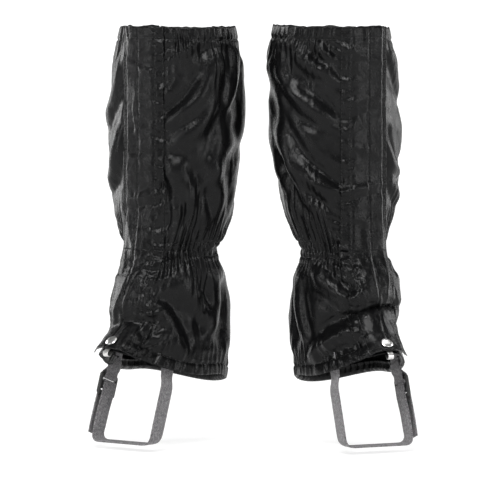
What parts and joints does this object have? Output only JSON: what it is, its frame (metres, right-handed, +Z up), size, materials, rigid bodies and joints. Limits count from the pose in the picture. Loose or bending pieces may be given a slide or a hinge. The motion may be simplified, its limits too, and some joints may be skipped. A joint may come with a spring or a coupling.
{
  "type": "hiking gaiters",
  "caption": "Pair of knee-high nylon hiking gaiters with front storm flap, elastic rim, ankle and hem, lace hook and webbing instep strap with ladder-lock buckle.",
  "frame": {"origin": "midway between the two ankles, at the ground under the boots", "axes": "+Z up, -Y towards the toes, +X towards the left gaiter"},
  "size_m": [0.3384, 0.1788, 0.4248],
  "materials": {
    "black_nylon": "glossy coated plain weave",
    "black_elastic": "matte knitted elastic",
    "loop_pile": "brushed loop pile",
    "hook_pile": "moulded hook tape",
    "grey_webbing": "coarse flat webbing",
    "plated_steel": "nickel plated",
    "black_plastic": "moulded acetal"
  },
  "bodies": {
    "gaiter_cloth": {"left_inner_calf_panel": "black_nylon", "left_inner_foot_panel": "black_nylon", "left_outer_calf_panel": "black_nylon", "left_outer_foot_panel": "black_nylon", "left_top_elastic": "black_elastic", "left_ankle_elastic": "black_elastic", "left_hem_elastic": "black_elastic", "left_loop_tape": "loop_pile", "left_inner_strap_anchor": "grey_webbing", "left_outer_strap_anchor": "grey_webbing", "right_inner_calf_panel": "black_nylon", "right_inner_foot_panel": "black_nylon", "right_outer_calf_panel": "black_nylon", "right_outer_foot_panel": "black_nylon", "right_top_elastic": "black_elastic", "right_ankle_elastic": "black_elastic", "right_hem_elastic": "black_elastic", "right_loop_tape": "loop_pile", "right_inner_strap_anchor": "grey_webbing", "right_outer_strap_anchor": "grey_webbing"},
    "left_flap_calf": {"left_storm_flap_upper": "black_nylon", "left_hook_tape_upper": "hook_pile"},
    "left_flap_foot": {"left_storm_flap_lower": "black_nylon", "left_hook_tape_lower": "hook_pile", "left_hook_rivet": "plated_steel", "left_rivet_washer": "plated_steel"},
    "left_lace_hook_body": {"left_lace_hook": "plated_steel"},
    "left_strap": {"left_instep_strap": "grey_webbing", "left_buckle_loop": "grey_webbing", "left_ladder_buckle": "black_plastic"},
    "left_tail": {"left_strap_tail": "grey_webbing"},
    "right_flap_calf": {"right_storm_flap_upper": "black_nylon", "right_hook_tape_upper": "hook_pile"},
    "right_flap_foot": {"right_storm_flap_lower": "black_nylon", "right_hook_tape_lower": "hook_pile", "right_hook_rivet": "plated_steel", "right_rivet_washer": "plated_steel"},
    "right_lace_hook_body": {"right_lace_hook": "plated_steel"},
    "right_strap": {"right_instep_strap": "grey_webbing", "right_buckle_loop": "grey_webbing", "right_ladder_buckle": "black_plastic"},
    "right_tail": {"right_strap_tail": "grey_webbing"}
  },
  "joints": [
    {"name": "left_flap_open_calf", "type": "hinge", "parent": "gaiter_cloth", "child": "left_flap_calf", "pos_m": [0.09095, -0.05465, 0.32], "axis": [0, 0, -1], "range_deg": [0, 120]},
    {"name": "left_flap_open_foot", "type": "hinge", "parent": "gaiter_cloth", "child": "left_flap_foot", "pos_m": [0.08974, -0.05454, 0.2034], "axis": [0.195, -0.3361, -0.9214], "range_deg": [0, 120]},
    {"name": "left_hook_swivel", "type": "hinge", "parent": "left_flap_foot", "child": "left_lace_hook_body", "pos_m": [0.14027, -0.08534, 0.11246], "axis": [0.3293, -0.548, 0.7689], "range_deg": [-12, 12]},
    {"name": "left_strap_swing", "type": "hinge", "parent": "gaiter_cloth", "child": "left_strap", "pos_m": [0.11527, -0.04372, 0.08], "axis": [0.8572, 0.515, 0], "range_deg": [-10, 25]},
    {"name": "left_tail_lift", "type": "hinge", "parent": "left_strap", "child": "left_tail", "pos_m": [0.15594, -0.02889, 0.05687], "axis": [0.4852, -0.8075, 0.3354], "range_deg": [0, 70]},
    {"name": "right_flap_open_calf", "type": "hinge", "parent": "gaiter_cloth", "child": "right_flap_calf", "pos_m": [-0.09095, -0.05465, 0.32], "axis": [0, 0, 1], "range_deg": [0, 120]},
    {"name": "right_flap_open_foot", "type": "hinge", "parent": "gaiter_cloth", "child": "right_flap_foot", "pos_m": [-0.08974, -0.05454, 0.2034], "axis": [0.195, 0.3361, 0.9214], "range_deg": [0, 120]},
    {"name": "right_hook_swivel", "type": "hinge", "parent": "right_flap_foot", "child": "right_lace_hook_body", "pos_m": [-0.14027, -0.08534, 0.11246], "axis": [0.3293, 0.548, -0.7689], "range_deg": [-12, 12]},
    {"name": "right_strap_swing", "type": "hinge", "parent": "gaiter_cloth", "child": "right_strap", "pos_m": [-0.11527, -0.04372, 0.08], "axis": [0.8572, -0.515, 0], "range_deg": [-10, 25]},
    {"name": "right_tail_lift", "type": "hinge", "parent": "right_strap", "child": "right_tail", "pos_m": [-0.15594, -0.02889, 0.05687], "axis": [0.4852, 0.8075, -0.3354], "range_deg": [0, 70]}
  ]
}
